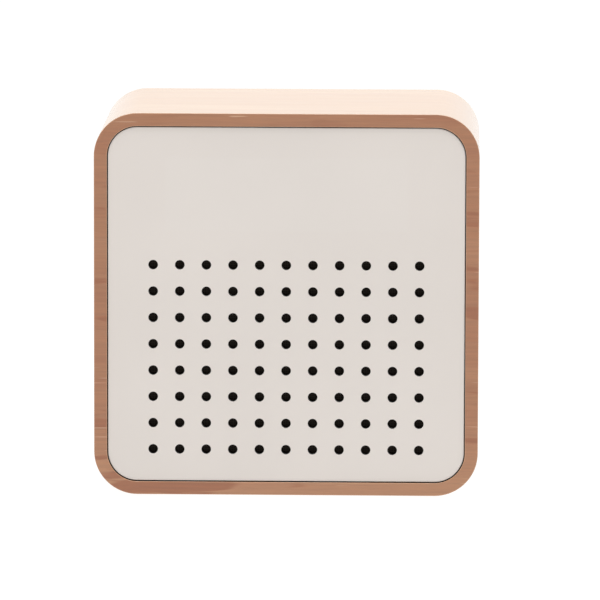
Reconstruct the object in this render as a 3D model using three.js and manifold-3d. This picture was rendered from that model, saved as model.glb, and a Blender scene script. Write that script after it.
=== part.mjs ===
// A desktop carbon dioxide monitor. A square wooden frame holds a perforated white front panel with a
// hidden five-digit display behind it, a plastic chassis with the main board and its infrared gas
// sensor, and a screwed rear cover with a USB socket and two push buttons.
//
// Millimetres, +Z up. X is the width and -Y is the front. The origin is the middle of the footprint,
// on the plane that the feet stand on.

import * as THREE from "three";
import { mergeVertices } from "three/addons/utils/BufferGeometryUtils.js";
import Module from "manifold-3d";

const wasm = await Module();
wasm.setup();

// ---------------------------------------------------------------- driving dimensions

// Wooden frame, front panel and rear cover.
const CASE_WIDTH = 100;
const CASE_HEIGHT = 100;
const CASE_DEPTH = 60;
const CASE_RADIUS = 11.3; // outer corners
const LIP_WALL = 3.4; // wood round the front panel and round the rear cover
const FRAME_WALL = 6; // wood between the two ledges
const PANEL_RECESS = 0.4; // front edge of the wood to the face of the panel
const PANEL_THICKNESS = 2;
const COVER_RECESS = 1.2; // rear edge of the wood to the face of the cover
const COVER_THICKNESS = 2.4;

// Clearances.
const SEAM = 0.3; // round a piece that drops into another
const PLATE_SEAM = 0.24; // round the front panel and the rear cover
const SEAT = 0.1; // between two faces that bear on each other
const THREAD = 0.1; // round a screw in its hole
const RUNNING = 0.3; // round a piece that slides

// Feet.
const FOOT_HEIGHT = 1;
const FOOT_RADIUS = 4.5;
const FOOT_INSET_X = 16; // side of the frame to the middle of a foot
const FOOT_INSET_Y = 12.5;

// Perforations of the front panel. Their columns and rows are as many as the free area takes.
const HOLE_RADIUS = 1.25;
const HOLE_PITCH = 6.92;
const HOLE_BOTTOM_MARGIN = 8.3; // panel's lower edge to the lowest row

// Display of seven-segment digits.
const DIGITS = 5;
const DIGIT_PITCH = 12.5;
const DIGIT_WIDTH = 8.8;
const DIGIT_HEIGHT = 14.8;
const SEGMENT_WIDTH = 1.5;
const SEGMENT_GAP = 0.35; // between the tips of two segments
const DISPLAY_END = 0.25; // housing past the last digit's share of the width
const DISPLAY_RIM = 2.1; // housing above and below the digits
const DISPLAY_DEPTH = 8;
const DISPLAY_FACE = 1; // thickness of the housing's face
const DISPLAY_WALL = 0.8;
const WINDOW_SKIN = 0.8; // what is left of the panel in front of the display
const WINDOW_SIDE_GAP = 0.35; // thinned window past the display, at each side
const WINDOW_TOP_GAP = 0.7; // the same, above and below
const WINDOW_DROP = 7.3; // panel's upper edge to the thinned window
const GASKET_BORDER = 1.3;
const GASKET_THICKNESS = 1.8;

// Boards.
const BOARD_THICKNESS = 1.6;
const POST_RADIUS = 2; // posts of the panel that carry the display board
const POST_SPACING = 50;
const BOARD_EDGE = 3.2; // screw to the edge of a board
const DISPLAY_BOARD_TOP = 1; // display board above the display
const MAIN_BOARD_FRONT_GAP = 3; // display board to main board
const STANDOFF_HEIGHT = 2.8;
const STANDOFF_RADIUS = 2.6;

// Chassis.
const CHASSIS_WALL = 2;
const BOSS_RADIUS = 4.2; // rear corner bosses, for the cover's screws
const BOSS_LENGTH = 12;
const BOSS_MERGE = 0.8; // boss sunk into the wall beside it
const SOCKET_RADIUS = 2.2; // front bosses, for the panel's studs
const SOCKET_LENGTH = 9;
const SOCKET_MERGE = 0.6;
const STUD_RADIUS = 1.2;
const STUD_LENGTH = 7.5;
const STUD_RISE = 16.3; // panel's lower edge to the lower studs

// Fasteners.
const COVER_SCREW_RADIUS = 1.5;
const COVER_SCREW_LENGTH = 9.5;
const COVER_SCREW_HEAD = 2.9;
const COVER_SCREW_CONE = 1.5; // height of the countersunk head
const INSERT_RADIUS = 2.4;
const INSERT_LENGTH = 5;
const BOARD_SCREW_RADIUS = 1;
const BOARD_SCREW_LENGTH = 3; // below the board
const BOARD_SCREW_HEAD = 2;
const BOARD_SCREW_HEAD_HEIGHT = 1.3;

// Rear cover openings. The slots are as many as fit between the side margins.
const SLOT_WIDTH = 2.2;
const SLOT_HEIGHT = 26;
const SLOT_RISE = 9; // middle of the case to the middle of the slots
const SLOT_SIDE_MARGIN = 11;
const USB_WIDTH = 8.94;
const USB_HEIGHT = 3.16;
const USB_LENGTH = 7.3;
const USB_SHELL = 0.3;
const USB_SETBACK = 0.2; // face of the cover to the mouth of the socket
const USB_MARGIN = 0.35; // opening in the cover round the socket

// Push buttons.
const BUTTON_SPACING = 32;
const BUTTON_RADIUS = 3.3;
const BUTTON_PROUD = 0.9; // face of the cap past the face of the cover
const BUTTON_TRAVEL = 0.6;
const BUTTON_EAR_WIDTH = 9.6; // ears that keep the cap behind the cover
const BUTTON_EAR_HEIGHT = 5.4;
const BUTTON_EAR_THICKNESS = 0.9;
const SWITCH_SIZE = 6;
const SWITCH_DEPTH = 3.5;
const PLUNGER_RADIUS = 1.6;
const PLUNGER_BORE_DEPTH = 2.6;

// Parts on the main board.
const SENSOR_LENGTH = 33.5;
const SENSOR_WIDTH = 19.5;
const SENSOR_BOARD = 1;
const SENSOR_EDGE = 2; // side of the main board to the sensor
const SENSOR_SETBACK = 5.6; // front edge of the main board to the sensor
const HEADER_HEIGHT = 2.5;
const CHAMBER_LENGTH = 25;
const CHAMBER_WIDTH = 14;
const CHAMBER_HEIGHT = 6.2;
const BUZZER_RADIUS = 6;
const BUZZER_HEIGHT = 8.5;
const CAPACITOR_RADIUS = 3.15;
const CAPACITOR_HEIGHT = 7.7;
const CHIP_SIZE = 7;
const CHIP_HEIGHT = 1.2;
const RISER_WIDTH = 12;
const RISER_SOCKET_LENGTH = 14;
const RISER_SOCKET_DEPTH = 3;
const RISER_SOCKET_HEIGHT = 4.5;

const SCREEN_THICKNESS = 0.4;
const SCREEN_BORDER = 1; // dust screen past the edges of the outer holes

// ---------------------------------------------------------------- places worked out from them
// Heights below are counted from the middle of the case.

const FRONT = -CASE_DEPTH / 2;
const REAR = CASE_DEPTH / 2;
const PANEL_FACE = FRONT + PANEL_RECESS;
const PANEL_BACK = PANEL_FACE + PANEL_THICKNESS;
const COVER_FACE = REAR - COVER_RECESS;
const COVER_INSIDE = COVER_FACE - COVER_THICKNESS;

const PANEL_INSET = LIP_WALL + PLATE_SEAM;
const PANEL_HALF_WIDTH = CASE_WIDTH / 2 - PANEL_INSET;
const PANEL_HALF_HEIGHT = CASE_HEIGHT / 2 - PANEL_INSET;

const CHASSIS_INSET = FRAME_WALL + SEAM;
const CHASSIS_HALF_WIDTH = CASE_WIDTH / 2 - CHASSIS_INSET - CHASSIS_WALL; // of its inside
const CHASSIS_HALF_HEIGHT = CASE_HEIGHT / 2 - CHASSIS_INSET - CHASSIS_WALL;
const CHASSIS_FRONT = PANEL_BACK + SEAM;
const CHASSIS_REAR = COVER_INSIDE - SEAM;

const BOSS_X = CHASSIS_HALF_WIDTH - BOSS_RADIUS + BOSS_MERGE;
const BOSS_Z = CHASSIS_HALF_HEIGHT - BOSS_RADIUS + BOSS_MERGE;
const STUD_X = CHASSIS_HALF_WIDTH - SOCKET_RADIUS + SOCKET_MERGE;

const DISPLAY_WIDTH = DIGITS * DIGIT_PITCH + 2 * DISPLAY_END;
const DISPLAY_HEIGHT = DIGIT_HEIGHT + 2 * DISPLAY_RIM;
const WINDOW_WIDTH = DISPLAY_WIDTH + 2 * WINDOW_SIDE_GAP;
const WINDOW_HEIGHT = DISPLAY_HEIGHT + 2 * WINDOW_TOP_GAP;
const DISPLAY_Z = PANEL_HALF_HEIGHT - WINDOW_DROP - WINDOW_HEIGHT / 2;
const DISPLAY_FRONT = PANEL_FACE + WINDOW_SKIN + SEAT;
const DISPLAY_BOARD_FRONT = DISPLAY_FRONT + DISPLAY_DEPTH + SEAT;
const DISPLAY_BOARD_BACK = DISPLAY_BOARD_FRONT + BOARD_THICKNESS;
const GASKET_HALF_HEIGHT = DISPLAY_HEIGHT / 2 + SEAM + GASKET_BORDER;
const POST_Z = DISPLAY_Z - GASKET_HALF_HEIGHT - SEAM - POST_RADIUS;
const STUD_ROWS = [STUD_RISE - PANEL_HALF_HEIGHT, POST_Z];

const SCREEN_TOP = POST_Z - POST_RADIUS - SEAM;
const GRID_BOTTOM = -PANEL_HALF_HEIGHT + HOLE_BOTTOM_MARGIN;
const GRID_TOP = SCREEN_TOP - SCREEN_BORDER - HOLE_RADIUS;
const GRID_ROWS = 1 + Math.floor((GRID_TOP - GRID_BOTTOM) / HOLE_PITCH);
const SCREEN_SIDE = STUD_X - SOCKET_RADIUS - SEAM;
const GRID_SIDE = SCREEN_SIDE - SCREEN_BORDER - HOLE_RADIUS;
const GRID_COLUMNS = 1 + Math.floor((2 * GRID_SIDE) / HOLE_PITCH);
const GRID_HALF_WIDTH = ((GRID_COLUMNS - 1) * HOLE_PITCH) / 2;
const SLOT_COUNT =
  1 + Math.floor((2 * (PANEL_HALF_WIDTH - SLOT_SIDE_MARGIN)) / HOLE_PITCH);

const EAR_BACK = COVER_INSIDE - SEAT; // face of a button's ears that meets the cover
const EAR_FRONT = EAR_BACK - BUTTON_EAR_THICKNESS;

const BOARD_HALF_WIDTH = BOSS_X - BOSS_RADIUS - 2 * SEAM;
const BOARD_FRONT = DISPLAY_BOARD_BACK + MAIN_BOARD_FRONT_GAP;
const BOARD_REAR = EAR_FRONT - BUTTON_TRAVEL - RUNNING;
const BOARD_BOTTOM = -CHASSIS_HALF_HEIGHT + STANDOFF_HEIGHT;
const BOARD_TOP = BOARD_BOTTOM + BOARD_THICKNESS;
const BOARD_SCREW_X = BOARD_HALF_WIDTH - BOARD_EDGE;
const BOARD_SCREW_YS = [BOARD_FRONT + BOARD_EDGE, BOARD_REAR - BOARD_EDGE];

const BUTTON_Z = BOARD_TOP + SEAT + SWITCH_SIZE / 2;
const SWITCH_REAR = EAR_FRONT - 2 * BUTTON_TRAVEL;
const SWITCH_FRONT = SWITCH_REAR - SWITCH_DEPTH;
const PLUNGER_FRONT =
  SWITCH_REAR - PLUNGER_BORE_DEPTH + BUTTON_TRAVEL + RUNNING;
const PLUNGER_REAR = EAR_FRONT - SEAT;
const USB_Z = BOARD_TOP + SEAT + USB_HEIGHT / 2;
const USB_MOUTH = COVER_FACE - USB_SETBACK;

// ---------------------------------------------------------------- materials

const material = (color, roughness, metalness = 0) =>
  new THREE.MeshStandardMaterial({ color, roughness, metalness });

const WOOD = material(0xba8a6a, 0.55);
const WHITE_PLASTIC = material(0xe6ded6, 0.5);
const GREY_PLASTIC = material(0x8d8f90, 0.6);
const BLACK_PLASTIC = material(0x1c1c1e, 0.5);
const BLACK_NYLON = material(0x0f0e0d, 0.9);
const RUBBER = material(0x2a2a2a, 0.9);
const DIFFUSER = material(0xdedbd2, 0.4);
const CIRCUIT_BOARD = material(0x1e5a3c, 0.45);
const STEEL = material(0xb9bcc0, 0.3, 1);
const BRASS = material(0xc9a35a, 0.35, 1);
const GOLD = material(0xd8b25c, 0.3, 1);
const ALUMINIUM = material(0xc4c6c8, 0.35, 1);
const FILTER_WHITE = material(0xf1f0ec, 0.9);

// ---------------------------------------------------------------- geometry helpers

// Steps in half of a quarter turn of a large corner, and of a small round end.
const ARC_STEPS = 8;
const END_STEPS = 3;
const ROUND_STEPS = 16; // steps round a pin, boss or screw
const HOLE_STEPS = 12; // steps round a perforation

// A rectangle with round corners, centred on (x, y).
function roundedRect(width, height, radius, x = 0, y = 0) {
  const r = Math.min(radius, width / 2 - 0.01, height / 2 - 0.01);
  const [w, h] = [width / 2 - r, height / 2 - r];
  const shape = new THREE.Shape();
  shape.absarc(x + w, y + h, r, 0, Math.PI / 2, false);
  shape.absarc(x - w, y + h, r, Math.PI / 2, Math.PI, false);
  shape.absarc(x - w, y - h, r, Math.PI, 1.5 * Math.PI, false);
  shape.absarc(x + w, y - h, r, 1.5 * Math.PI, 2 * Math.PI, false);
  shape.closePath();
  return shape;
}

// The same outline as a hole, with steps of its own.
function cutout(shape, steps) {
  return new THREE.Path().setFromPoints(shape.getPoints(steps));
}

// The case's outline, moved inwards. Its corners stay concentric with the outer ones.
const LEAST_RADIUS = 0.8;
function caseOutline(inset) {
  const radius = Math.max(CASE_RADIUS - inset, LEAST_RADIUS);
  return roundedRect(CASE_WIDTH - 2 * inset, CASE_HEIGHT - 2 * inset, radius);
}

function disc(radius, x = 0, y = 0) {
  return new THREE.Shape().absarc(x, y, radius, 0, 2 * Math.PI, false);
}

// A shape drawn in X and Z, with thickness from y0 to y1.
function upright(shape, y0, y1, steps = ARC_STEPS) {
  const settings = {
    depth: y1 - y0,
    bevelEnabled: false,
    curveSegments: steps,
  };
  const geometry = new THREE.ExtrudeGeometry(shape, settings);
  return geometry.rotateX(Math.PI / 2).translate(0, y1, 0);
}

// A shape drawn in X and Y, with thickness from z0 to z1.
function level(shape, z0, z1, steps = ARC_STEPS) {
  const settings = {
    depth: z1 - z0,
    bevelEnabled: false,
    curveSegments: steps,
  };
  return new THREE.ExtrudeGeometry(shape, settings).translate(0, 0, z0);
}

// A box between two corners.
function box(x0, x1, y0, y1, z0, z1) {
  const geometry = new THREE.BoxGeometry(x1 - x0, y1 - y0, z1 - z0);
  return geometry.translate((x0 + x1) / 2, (y0 + y1) / 2, (z0 + z1) / 2);
}

// A cylinder along Y from y0 to y1, at (x, z).
function rodY(radius, y0, y1, x = 0, z = 0, steps = ROUND_STEPS) {
  const geometry = new THREE.CylinderGeometry(radius, radius, y1 - y0, steps);
  return geometry.translate(x, (y0 + y1) / 2, z);
}

// A cylinder along Z from z0 to z1, at (x, y).
function rodZ(radius, z0, z1, x = 0, y = 0, steps = ROUND_STEPS) {
  const geometry = new THREE.CylinderGeometry(radius, radius, z1 - z0, steps);
  return geometry.rotateX(Math.PI / 2).translate(x, y, (z0 + z1) / 2);
}

function solid(geometry) {
  const bare = geometry.clone();
  bare.deleteAttribute("normal");
  bare.deleteAttribute("uv");
  const merged = mergeVertices(bare, 1e-4);
  return new wasm.Manifold(
    new wasm.Mesh({
      numProp: 3,
      vertProperties: new Float32Array(merged.attributes.position.array),
      triVerts: new Uint32Array(merged.index.array),
    }),
  );
}

function geometryOf(manifold) {
  const mesh = manifold.getMesh();
  const geometry = new THREE.BufferGeometry();
  const position = new THREE.BufferAttribute(mesh.vertProperties, 3);
  geometry.setAttribute("position", position);
  geometry.setIndex(new THREE.BufferAttribute(mesh.triVerts, 1));
  return geometry;
}

// The first geometry with the others joined to it, and then with the cuts taken away.
function combine(first, joined, cuts = []) {
  let made = solid(first);
  for (const geometry of joined) made = made.add(solid(geometry));
  for (const geometry of cuts) made = made.subtract(solid(geometry));
  return geometryOf(made);
}

const CORNERS = [
  [-1, -1],
  [1, -1],
  [-1, 1],
  [1, 1],
];
const SIDES = [-1, 1];
const PAST = 1; // how far a cutter runs past the face it opens

// ---------------------------------------------------------------- the pieces

const root = new THREE.Group();
const casing = new THREE.Group(); // its own origin is the middle of the case
casing.position.set(0, 0, FOOT_HEIGHT + CASE_HEIGHT / 2);
root.add(casing);

function piece(name, geometry, look, position = [0, 0, 0], parent = casing) {
  const mesh = new THREE.Mesh(geometry, look);
  mesh.name = name;
  mesh.position.set(...position);
  parent.add(mesh);
  return mesh;
}

// The wooden frame: a ring with a ledge near each end, for the panel and for the cover.
function woodFrame() {
  const lip = caseOutline(LIP_WALL);
  const cuts = [
    upright(caseOutline(FRAME_WALL), FRONT - PAST, REAR + PAST),
    upright(lip, FRONT - PAST, PANEL_BACK + SEAT),
    upright(lip, COVER_INSIDE - SEAT, REAR + PAST),
  ];
  return combine(upright(caseOutline(0), FRONT, REAR), [], cuts);
}

// The perforations, as [x, z].
function gridPoints() {
  const points = [];
  for (let row = 0; row < GRID_ROWS; row++)
    for (let column = 0; column < GRID_COLUMNS; column++)
      points.push([
        column * HOLE_PITCH - GRID_HALF_WIDTH,
        GRID_BOTTOM + row * HOLE_PITCH,
      ]);
  return points;
}

// The middles of the studs, as [x, z].
function studPlaces() {
  return SIDES.flatMap((side) => STUD_ROWS.map((z) => [side * STUD_X, z]));
}

// The front panel: a perforated plate, thinned in front of the display, with four studs that push
// into the chassis and two posts that carry the display board.
function frontPanel() {
  const outline = caseOutline(PANEL_INSET);
  for (const [x, z] of gridPoints())
    outline.holes.push(cutout(disc(HOLE_RADIUS, x, z), HOLE_STEPS / 2));
  const plate = upright(outline, PANEL_FACE, PANEL_BACK);
  const window = box(
    -WINDOW_WIDTH / 2,
    WINDOW_WIDTH / 2,
    PANEL_FACE + WINDOW_SKIN,
    PANEL_BACK + PAST,
    DISPLAY_Z - WINDOW_HEIGHT / 2,
    DISPLAY_Z + WINDOW_HEIGHT / 2,
  );
  const sunk = PANEL_BACK - PANEL_THICKNESS / 2;
  const studs = studPlaces().map(([x, z]) =>
    rodY(STUD_RADIUS, sunk, PANEL_BACK + STUD_LENGTH, x, z),
  );
  const postEnd = DISPLAY_BOARD_FRONT - SEAT;
  const posts = SIDES.map((side) =>
    rodY(POST_RADIUS, sunk, postEnd, (side * POST_SPACING) / 2, POST_Z),
  );
  const pilots = SIDES.map((side) =>
    rodY(
      BOARD_SCREW_RADIUS + THREAD,
      postEnd - BOARD_SCREW_LENGTH - SEAM,
      postEnd + PAST,
      (side * POST_SPACING) / 2,
      POST_Z,
    ),
  );
  return combine(plate, [...studs, ...posts], [window, ...pilots]);
}

// The black nylon screen that keeps dust out, glued flat behind the perforations.
function dustScreen() {
  const halfWidth = GRID_HALF_WIDTH + HOLE_RADIUS + SCREEN_BORDER;
  const bottom = GRID_BOTTOM - HOLE_RADIUS - SCREEN_BORDER;
  const top =
    GRID_BOTTOM + (GRID_ROWS - 1) * HOLE_PITCH + HOLE_RADIUS + SCREEN_BORDER;
  const front = PANEL_BACK + SEAT / 2;
  return box(-halfWidth, halfWidth, front, front + SCREEN_THICKNESS, bottom, top);
}

// The rubber gasket that keeps the display's light from spreading behind the panel.
function displayGasket() {
  const width = DISPLAY_WIDTH + 2 * SEAM;
  const height = DISPLAY_HEIGHT + 2 * SEAM;
  const outer = roundedRect(
    width + 2 * GASKET_BORDER,
    height + 2 * GASKET_BORDER,
    GASKET_BORDER,
  );
  outer.holes.push(roundedRect(width, height, LEAST_RADIUS));
  const front = PANEL_BACK + SEAT;
  return upright(outer, front, front + GASKET_THICKNESS, END_STEPS);
}

// One segment as a six-sided outline along X or Z, grown by a margin.
function segmentShape(x, z, length, along, grow) {
  const half = SEGMENT_WIDTH / 2 + grow;
  const end = length / 2 + grow;
  const corners = [
    [-end, 0],
    [-end + half, -half],
    [end - half, -half],
    [end, 0],
    [end - half, half],
    [-end + half, half],
  ];
  const points = corners.map(([u, v]) =>
    along === "x"
      ? new THREE.Vector2(x + u, z + v)
      : new THREE.Vector2(x - v, z + u),
  );
  return new THREE.Shape(points);
}

// The seven segments of one digit.
function digitShapes(grow) {
  const across = DIGIT_WIDTH - SEGMENT_WIDTH; // between the two upright segments
  const rise = (DIGIT_HEIGHT - SEGMENT_WIDTH) / 2; // between two level segments
  const shapes = [-1, 0, 1].map((k) =>
    segmentShape(0, k * rise, across - SEGMENT_GAP, "x", grow),
  );
  for (const side of SIDES)
    for (const half of SIDES)
      shapes.push(
        segmentShape(
          (side * across) / 2,
          (half * rise) / 2,
          rise - SEGMENT_GAP,
          "z",
          grow,
        ),
      );
  return shapes;
}

const digitX = (k) => (k - (DIGITS - 1) / 2) * DIGIT_PITCH;
const SEGMENT_PLAY = 0.12; // window past the segment that fills it
const DIGIT_PLATE_SIDE = 0.75; // half of the gap between two digit plates
const DIGIT_PLATE_THICKNESS = 0.8;

// The display's housing: a tray whose face has a window for each segment.
function displayHousing() {
  const [w, h] = [DISPLAY_WIDTH / 2, DISPLAY_HEIGHT / 2];
  const back = DISPLAY_FRONT + DISPLAY_DEPTH;
  const inside = DISPLAY_FRONT + DISPLAY_FACE;
  const hollow = box(
    -w + DISPLAY_WALL,
    w - DISPLAY_WALL,
    inside,
    back + PAST,
    -h + DISPLAY_WALL,
    h - DISPLAY_WALL,
  );
  const windows = [];
  for (let k = 0; k < DIGITS; k++)
    for (const shape of digitShapes(SEGMENT_PLAY))
      windows.push(
        upright(shape, DISPLAY_FRONT - PAST, inside + PAST).translate(
          digitX(k),
          0,
          0,
        ),
      );
  return combine(box(-w, w, DISPLAY_FRONT, back, -h, h), [], [
    hollow,
    ...windows,
  ]);
}

// One digit's diffuser: a plate behind the housing's face, with a raised segment in each window.
function displayDigit() {
  const inside = DISPLAY_FRONT + DISPLAY_FACE + SEAT;
  const width = DIGIT_PITCH / 2 - DIGIT_PLATE_SIDE;
  const height = DISPLAY_HEIGHT / 2 - DISPLAY_WALL - SEAM;
  const back = inside + DIGIT_PLATE_THICKNESS;
  const plate = box(-width, width, inside, back, -height, height);
  const middle = inside + DIGIT_PLATE_THICKNESS / 2;
  const raised = digitShapes(0).map((shape) =>
    upright(shape, DISPLAY_FRONT + SEAT, middle),
  );
  return combine(plate, raised);
}

// A board with a round hole for each of its screws, drawn in the board's own plane.
function boardShape(x0, x1, v0, v1, screws) {
  const shape = roundedRect(
    x1 - x0,
    v1 - v0,
    LEAST_RADIUS,
    (x0 + x1) / 2,
    (v0 + v1) / 2,
  );
  for (const [x, v] of screws)
    shape.holes.push(disc(BOARD_SCREW_RADIUS + 2 * THREAD, x, v));
  return shape;
}

const DISPLAY_BOARD_HALF = STUD_X - SOCKET_RADIUS - 4 * SEAM;

function displayBoard() {
  const screws = SIDES.map((side) => [(side * POST_SPACING) / 2, POST_Z]);
  const top = DISPLAY_Z + DISPLAY_HEIGHT / 2 + DISPLAY_BOARD_TOP;
  const shape = boardShape(
    -DISPLAY_BOARD_HALF,
    DISPLAY_BOARD_HALF,
    POST_Z - BOARD_EDGE,
    top,
    screws,
  );
  return upright(shape, DISPLAY_BOARD_FRONT, DISPLAY_BOARD_BACK, END_STEPS);
}

function mainBoard() {
  const screws = [];
  for (const side of SIDES)
    for (const y of BOARD_SCREW_YS) screws.push([side * BOARD_SCREW_X, y]);
  const shape = boardShape(
    -BOARD_HALF_WIDTH,
    BOARD_HALF_WIDTH,
    BOARD_FRONT,
    BOARD_REAR,
    screws,
  );
  return level(shape, BOARD_BOTTOM, BOARD_TOP, END_STEPS);
}

// The chassis: a square tube with bosses for the cover's screws, sockets for the panel's studs and
// standoffs for the main board.
function chassis() {
  const tube = upright(
    caseOutline(CHASSIS_INSET),
    CHASSIS_FRONT,
    CHASSIS_REAR,
  );
  const hollow = upright(
    caseOutline(CHASSIS_INSET + CHASSIS_WALL),
    CHASSIS_FRONT - PAST,
    CHASSIS_REAR + PAST,
  );
  const bosses = CORNERS.map(([sx, sz]) =>
    rodY(
      BOSS_RADIUS,
      CHASSIS_REAR - BOSS_LENGTH,
      CHASSIS_REAR,
      sx * BOSS_X,
      sz * BOSS_Z,
    ),
  );
  const insertHoles = CORNERS.map(([sx, sz]) =>
    rodY(
      INSERT_RADIUS + THREAD,
      CHASSIS_REAR - COVER_SCREW_LENGTH,
      CHASSIS_REAR + PAST,
      sx * BOSS_X,
      sz * BOSS_Z,
    ),
  );
  const sockets = studPlaces().map(([x, z]) =>
    rodY(SOCKET_RADIUS, CHASSIS_FRONT, CHASSIS_FRONT + SOCKET_LENGTH, x, z),
  );
  const socketHoles = studPlaces().map(([x, z]) =>
    rodY(
      STUD_RADIUS + THREAD,
      CHASSIS_FRONT - PAST,
      PANEL_BACK + STUD_LENGTH + SEAM,
      x,
      z,
    ),
  );
  const standoffs = [];
  const pilots = [];
  const floor = -CHASSIS_HALF_HEIGHT;
  for (const side of SIDES)
    for (const y of BOARD_SCREW_YS) {
      const x = side * BOARD_SCREW_X;
      const top = BOARD_BOTTOM - SEAT;
      const sunk = floor - CHASSIS_WALL / 2;
      standoffs.push(rodZ(STANDOFF_RADIUS, sunk, top, x, y));
      pilots.push(
        rodZ(
          BOARD_SCREW_RADIUS + THREAD,
          BOARD_BOTTOM - BOARD_SCREW_LENGTH - SEAM,
          top + PAST,
          x,
          y,
          12,
        ),
      );
    }
  const shell = combine(tube, [], [hollow]);
  return combine(
    shell,
    [...bosses, ...sockets, ...standoffs],
    [...insertHoles, ...socketHoles, ...pilots],
  );
}

// The rear cover: a plate with air slots, four countersunk holes, and openings for the socket and
// the buttons.
function rearCover() {
  const outline = caseOutline(PANEL_INSET);
  const half = ((SLOT_COUNT - 1) * HOLE_PITCH) / 2;
  for (let k = 0; k < SLOT_COUNT; k++) {
    const slot = roundedRect(
      SLOT_WIDTH,
      SLOT_HEIGHT,
      SLOT_WIDTH / 2,
      k * HOLE_PITCH - half,
      SLOT_RISE,
    );
    outline.holes.push(cutout(slot, END_STEPS));
  }
  const port = roundedRect(
    USB_WIDTH + 2 * USB_MARGIN,
    USB_HEIGHT + 2 * USB_MARGIN,
    USB_HEIGHT / 2 + USB_MARGIN,
    0,
    USB_Z,
  );
  outline.holes.push(cutout(port, END_STEPS));
  for (const side of SIDES)
    outline.holes.push(
      disc(BUTTON_RADIUS + RUNNING, (side * BUTTON_SPACING) / 2, BUTTON_Z),
    );
  const plate = upright(outline, COVER_INSIDE, COVER_FACE);
  const cuts = CORNERS.flatMap(([sx, sz]) => {
    const [x, z] = [sx * BOSS_X, sz * BOSS_Z];
    const shank = rodY(
      COVER_SCREW_RADIUS + THREAD,
      COVER_INSIDE - PAST,
      COVER_FACE + PAST,
      x,
      z,
    );
    const cone = new THREE.CylinderGeometry(
      COVER_SCREW_HEAD + 2 * THREAD,
      COVER_SCREW_RADIUS + THREAD,
      COVER_SCREW_CONE,
      ROUND_STEPS,
    );
    const rim = rodY(
      COVER_SCREW_HEAD + 2 * THREAD,
      COVER_FACE - SEAT,
      COVER_FACE + PAST,
      x,
      z,
    );
    const middle = COVER_FACE - SEAT / 2 - COVER_SCREW_CONE / 2;
    return [shank, cone.translate(x, middle, z), rim];
  });
  return combine(plate, [], cuts);
}

// A cross recess in a screw's head, as two crossed bars along an axis.
function crossRecess(radius, depth, face) {
  const [long, short] = [radius * 0.6, radius * 0.14];
  return [
    box(-long, long, face - depth, face + PAST, -short, short),
    box(-short, short, face - depth, face + PAST, -long, long),
  ];
}

// A countersunk screw along Y, with the face of its head at y = 0.
function coverScrew() {
  const profile = [
    new THREE.Vector2(0, -COVER_SCREW_LENGTH),
    new THREE.Vector2(COVER_SCREW_RADIUS * 0.6, -COVER_SCREW_LENGTH),
    new THREE.Vector2(COVER_SCREW_RADIUS, -COVER_SCREW_LENGTH + 0.8),
    new THREE.Vector2(COVER_SCREW_RADIUS, -COVER_SCREW_CONE),
    new THREE.Vector2(COVER_SCREW_HEAD, -SEAT),
    new THREE.Vector2(COVER_SCREW_HEAD, 0),
    new THREE.Vector2(0, 0),
  ];
  const lathe = new THREE.LatheGeometry(profile, ROUND_STEPS);
  return combine(lathe, [], crossRecess(COVER_SCREW_HEAD, 1, 0));
}

// A pan-headed screw along Y, with the underside of its head at y = 0 and its tip at -Y.
function boardScrew() {
  const [r, head] = [BOARD_SCREW_RADIUS, BOARD_SCREW_HEAD];
  const tip = -BOARD_THICKNESS - BOARD_SCREW_LENGTH;
  const profile = [
    new THREE.Vector2(0, tip),
    new THREE.Vector2(r * 0.5, tip),
    new THREE.Vector2(r, tip + 0.8),
    new THREE.Vector2(r, 0),
    new THREE.Vector2(head, 0),
    new THREE.Vector2(head, BOARD_SCREW_HEAD_HEIGHT * 0.55),
    new THREE.Vector2(head * 0.7, BOARD_SCREW_HEAD_HEIGHT),
    new THREE.Vector2(0, BOARD_SCREW_HEAD_HEIGHT),
  ];
  const lathe = new THREE.LatheGeometry(profile, 14);
  return combine(lathe, [], crossRecess(head, 0.7, BOARD_SCREW_HEAD_HEIGHT));
}

// A brass insert along Y, with its rear face at y = 0.
function brassInsert() {
  const inner = COVER_SCREW_RADIUS + THREAD;
  const groove = INSERT_RADIUS - 0.3;
  const profile = [
    new THREE.Vector2(inner, -INSERT_LENGTH),
    new THREE.Vector2(INSERT_RADIUS, -INSERT_LENGTH),
    new THREE.Vector2(INSERT_RADIUS, -0.6 * INSERT_LENGTH),
    new THREE.Vector2(groove, -0.6 * INSERT_LENGTH),
    new THREE.Vector2(groove, -0.4 * INSERT_LENGTH),
    new THREE.Vector2(INSERT_RADIUS, -0.4 * INSERT_LENGTH),
    new THREE.Vector2(INSERT_RADIUS, 0),
    new THREE.Vector2(inner, 0),
    new THREE.Vector2(inner, -INSERT_LENGTH),
  ];
  return new THREE.LatheGeometry(profile, ROUND_STEPS);
}

// A button's cap: a round face, and ears behind the cover that keep it in. Its own origin is the
// middle of the ears' front face, which meets the switch's plunger.
function buttonCap() {
  const ears = upright(
    roundedRect(BUTTON_EAR_WIDTH, BUTTON_EAR_HEIGHT, LEAST_RADIUS),
    0,
    BUTTON_EAR_THICKNESS,
    END_STEPS,
  );
  const face = COVER_FACE + BUTTON_PROUD - EAR_FRONT;
  const cap = rodY(BUTTON_RADIUS, BUTTON_EAR_THICKNESS / 2, face, 0, 0, 24);
  return combine(ears, [cap]);
}

// A tactile switch's body, with a bore for its plunger.
function switchBody() {
  const half = SWITCH_SIZE / 2;
  const body = box(-half, half, SWITCH_FRONT, SWITCH_REAR, -half, half);
  const bore = rodY(
    PLUNGER_RADIUS + RUNNING,
    SWITCH_REAR - PLUNGER_BORE_DEPTH,
    SWITCH_REAR + PAST,
  );
  return combine(body, [], [bore]);
}

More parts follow.
